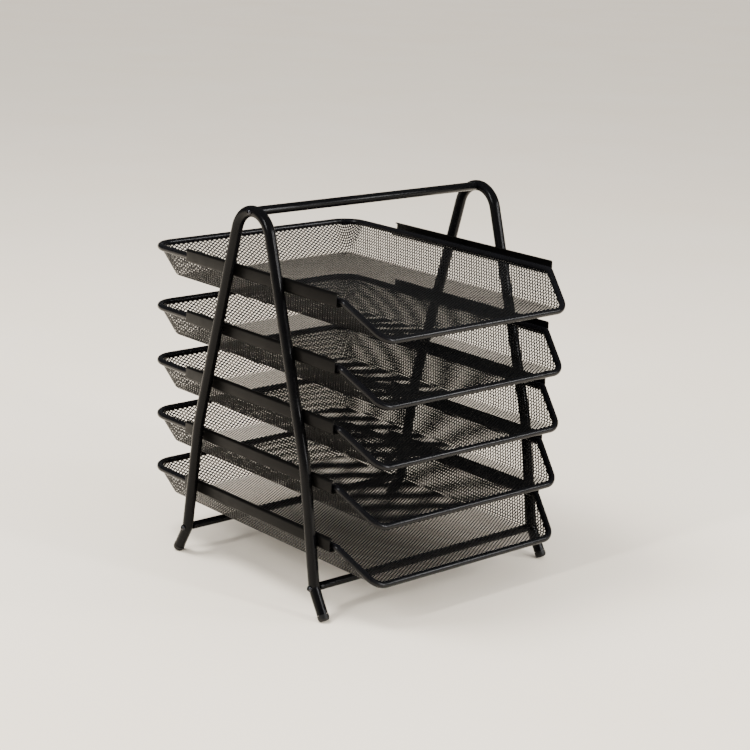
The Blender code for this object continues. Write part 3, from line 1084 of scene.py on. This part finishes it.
    def strands(self) -> list[tuple[np.ndarray, np.ndarray]]:
        """Return the middle line of every strand of the pressed basket and the sheet's normals."""
        outline = self.blank()
        reach = float(np.abs(outline).max()) * 1.5
        spacing = 1 / math.hypot(1 / self.long_way, 1 / self.short_way)
        strands = []
        for layer in (1, -1):
            across = np.array([1 / self.long_way, layer / self.short_way]) * spacing
            along = np.array([-across[1], across[0]])
            count = int(reach / spacing)
            for number in range(-count, count + 1):
                start = across * (number + 0.5) * spacing
                low, high = self.strand_run(outline, start, along)
                if high - low < 2 * self.strand_width:
                    continue
                count_along = max(3, math.ceil((high - low) / self.sample_step))
                samples = np.linspace(low, high, count_along)
                pressed = [self.fold_up(*(start + along * distance)) for distance in samples]
                rise = layer * self.layer
                points = np.array([place + normal * rise for place, normal in pressed])
                kept = self.thin(points)
                normals = np.array([pressed[index][1] for index in kept])
                strands.append((points[kept], normals))
        return strands

    def bonds(self) -> list[list[Vector]]:
        """Return the eight corners of the small plate that joins the strands at each crossing.

        The coat gathers there too, so the diamonds' acute ends are filled and look rounded.
        """
        outline = self.blank()
        rows = int(float(np.abs(outline[:, 1]).max()) / self.short_way * 2) + 1
        half_length = self.bond[0] / 2
        half_width = self.bond[1] / 2
        rise = self.strand_thickness / 2 - self.layer * 2
        corners = [(-half_length, -half_width), (half_length, -half_width)]
        corners += [(half_length, half_width), (-half_length, half_width)]
        plates = []
        for row in range(-rows, rows + 1):
            v = row * self.short_way / 2
            low, high = self.strand_run(outline, np.array([0.0, v]), np.array([1.0, 0.0]))
            last = int(max(abs(low), abs(high)) / self.long_way * 2) + 1
            for column in range(-last, last + 1):
                u = column * self.long_way / 2
                if (row + column) % 2 == 0 or not low + half_length < u < high - half_length:
                    continue
                folded = [self.fold_up(u + along, v + across) for along, across in corners]
                plates.append(
                    [place - normal * rise for place, normal in folded]
                    + [place + normal * rise for place, normal in folded]
                )
        return plates

    def section(self) -> list[tuple[float, float]]:
        """Return the strand's six-sided section: across the strand, and out of the sheet."""
        half = self.strand_width / 2
        flat = half * self.level_share
        rise = self.strand_thickness / 2
        return [(half, 0), (flat, rise), (-flat, rise), (-half, 0), (-flat, -rise), (flat, -rise)]

    def pressed_mesh(self, name: str) -> bpy.types.Object:
        """Draw every strand along its line, with its flat side in the sheet.

        A bevelled curve can't be told which way the sheet faces, so the strands are made as faces.

        Args:
            name: the object's name.

        Returns:
            The mesh object, with the rim at z = 0.
        """
        section = self.section()
        sides = len(section)
        points: list[np.ndarray] = []
        faces: list[list[int]] = []
        for line, normals in self.strands():
            base = len(points)
            tangents = np.gradient(line, axis=0)
            tangents /= np.linalg.norm(tangents, axis=1)[:, None]
            sideways = np.cross(tangents, normals)
            sideways /= np.linalg.norm(sideways, axis=1)[:, None]
            for place, side, normal in zip(line, sideways, normals):
                points.extend(place + side * across + normal * out for across, out in section)
            for ring in range(len(line) - 1):
                first = base + ring * sides
                ahead = first + sides
                for index in range(sides):
                    after = (index + 1) % sides
                    faces.append([first + index, first + after, ahead + after, ahead + index])
            faces.append([base + index for index in reversed(range(sides))])
            faces.append([base + (len(line) - 1) * sides + index for index in range(sides)])
        for plate in self.bonds():
            base = len(points)
            points.extend(np.array(corner) for corner in plate)
            for face in BOX_FACES:
                faces.append([base + index for index in face])
        mesh = bpy.data.meshes.new(name)
        mesh.from_pydata([tuple(point) for point in points], [], faces)
        item = bpy.data.objects.new(name, mesh)
        bpy.context.scene.collection.objects.link(item)
        turn_outwards(item)
        return item

    def build(self) -> None:
        """Press one basket and copy it to every tier."""
        first = self.pressed_mesh("tray_1_mesh")
        first.data.transform(Matrix.Translation((0, 0, self.rim.height(TIERS[0]))))
        smooth(first, self.crease)
        self.rim.fill_tiers(first, "mesh", MESH_COAT, "mesh", "basket")


# -------- studio


@dataclass(frozen=True)
class Softbox:
    """A rectangular lamp.

    Attributes:
        name: its name.
        place: where it hangs.
        size: its width and height.
        watts: its power.
        mirrored: whether glossy surfaces mirror it.
    """

    name: str
    place: tuple[float, float, float]
    size: tuple[float, float]
    watts: float
    mirrored: bool = True

    def hang(self, target: Vector) -> None:
        """Hang the lamp, facing a point."""
        data = bpy.data.lights.new(self.name, "AREA")
        data.shape = "RECTANGLE"
        data.size, data.size_y = self.size
        data.energy = self.watts
        lamp = bpy.data.objects.new(self.name, data)
        bpy.context.scene.collection.objects.link(lamp)
        place = Vector(self.place)
        lamp.location = place
        lamp.rotation_euler = (target - place).to_track_quat("-Z", "Y").to_euler()
        lamp.visible_glossy = self.mirrored


@dataclass
class Studio:
    """A pale floor, soft light and the camera.

    Attributes:
        location: the camera's place.
        yaw, pitch, roll: its turns: to the right of +Y, downwards and anticlockwise.
        lens: its focal length in millimetres.
        sensor: the width of its sensor in millimetres.
        far_clip: how far it sees.
        target: the point that every lamp faces.
        lamps: the softboxes.
        floor_size: the side of the square floor.
        floor_colours: hex colours of its faint patches.
        floor_pattern: how many patches come to a metre.
        floor_roughness: how matt it is.
        room_colour: hex colour of the room's own light.
        room_light: strength of that light from the level and from straight above.
        room_mirrored: its strength where glossy surfaces mirror it.
    """

    location: tuple[float, float, float] = (-1.1516, -1.3473, 0.6667)
    yaw: float = 0.7173
    pitch: float = 0.2672
    roll: float = 0.0342
    lens: float = 90.5
    sensor: float = 36.0
    far_clip: float = 50.0
    target: tuple[float, float, float] = (0, 0, 0.18)
    lamps: tuple[Softbox, ...] = (
        Softbox("Front strip", (0.55, -2.2, 0.9), (0.2, 1.1), 44),
        Softbox("Left strip", (-2.1, -0.2, 1.5), (0.14, 0.9), 38),
        Softbox("Right softbox", (1.6, -1.75, 1.2), (0.4, 0.5), 26),
        Softbox("Overhead key", (-0.75, 0.55, 2.2), (0.8, 0.8), 66, mirrored=False),
    )
    floor_size: float = 60.0
    floor_colours: tuple[str, str] = ("#efe1cb", "#f3e9d8")
    floor_pattern: float = 3.0
    floor_roughness: float = 0.7
    room_colour: str = "#f6f6f7"
    room_light: tuple[float, float] = (0.65, 1.9)
    room_mirrored: float = 0.1

    def floor(self) -> None:
        """Lay a wide matt floor, with very faint unevenness so that it isn't a flat colour."""
        deselect_all()
        bpy.ops.mesh.primitive_plane_add(size=self.floor_size, location=(0, 0, 0))
        floor = bpy.context.object
        floor.name = "studio_floor"
        material = bpy.data.materials.new("Pale matt floor")
        material.use_nodes = True
        tree = material.node_tree
        shader = tree.nodes["Principled BSDF"]
        place = add_node(tree, "ShaderNodeTexCoord").outputs["Object"]
        noise = add_node(
            tree,
            "ShaderNodeTexNoise",
            {"Scale": self.floor_pattern, "Detail": 3.0},
            {"Vector": place},
        )
        colour = add_node(
            tree, "ShaderNodeMix", {"data_type": "RGBA"}, {"Factor": noise.outputs["Fac"]}
        )
        colour.inputs[MIX_FIRST].default_value = hex_colour(self.floor_colours[0])
        colour.inputs[MIX_SECOND].default_value = hex_colour(self.floor_colours[1])
        tree.links.new(colour.outputs[MIX_RESULT], shader.inputs["Base Color"])
        shader.inputs["Roughness"].default_value = self.floor_roughness
        floor.data.materials.append(material)

    def world(self) -> None:
        """Light the room softly from above, with dark walls for glossy surfaces to mirror."""
        world = bpy.data.worlds.new("Studio room")
        bpy.context.scene.world = world
        world.use_nodes = True
        tree = world.node_tree
        sky = add_node(tree, "ShaderNodeTexCoord").outputs["Generated"]
        height = add_node(tree, "ShaderNodeSeparateXYZ", {}, {"Vector": sky}).outputs["Z"]
        overhead = add_node(
            tree,
            "ShaderNodeMapRange",
            {"To Min": self.room_light[0], "To Max": self.room_light[1]},
            {"Value": height},
        )
        rays = add_node(tree, "ShaderNodeLightPath")
        strength = add_node(
            tree,
            "ShaderNodeMapRange",
            {"To Max": self.room_mirrored},
            {"Value": rays.outputs["Is Glossy Ray"], "To Min": overhead.outputs["Result"]},
        )
        background = tree.nodes["Background"]
        background.inputs["Color"].default_value = hex_colour(self.room_colour)
        tree.links.new(strength.outputs["Result"], background.inputs["Strength"])

    def camera(self) -> None:
        """Aim the camera."""
        forward = Vector(
            (
                math.sin(self.yaw) * math.cos(self.pitch),
                math.cos(self.yaw) * math.cos(self.pitch),
                -math.sin(self.pitch),
            )
        )
        level = Vector((math.cos(self.yaw), -math.sin(self.yaw), 0))
        up = level.cross(forward)
        right = level * math.cos(self.roll) + up * math.sin(self.roll)
        top = up * math.cos(self.roll) - level * math.sin(self.roll)
        data = bpy.data.cameras.new("Studio camera")
        data.sensor_width = self.sensor
        data.lens = self.lens
        data.clip_end = self.far_clip
        camera = bpy.data.objects.new("Studio camera", data)
        bpy.context.scene.collection.objects.link(camera)
        turn = Matrix((right, top, -forward)).transposed().to_4x4()
        camera.matrix_world = Matrix.Translation(self.location) @ turn
        bpy.context.scene.camera = camera

    def build(self) -> None:
        """Set up the whole studio."""
        self.floor()
        self.world()
        for lamp in self.lamps:
            lamp.hang(Vector(self.target))
        self.camera()


def main() -> None:
    """Build the sorter and its studio."""
    logging.basicConfig(level=logging.INFO, format="%(name)s %(message)s")
    CarryingFrame().build()
    rail = Rail()
    for tier in TIERS:
        for side in Side:
            rail.build(side, tier)
    rim = TrayRim()
    rim.build()
    MeshBasket(rim).build()
    Studio().build()


if __name__ == "__main__":
    main()
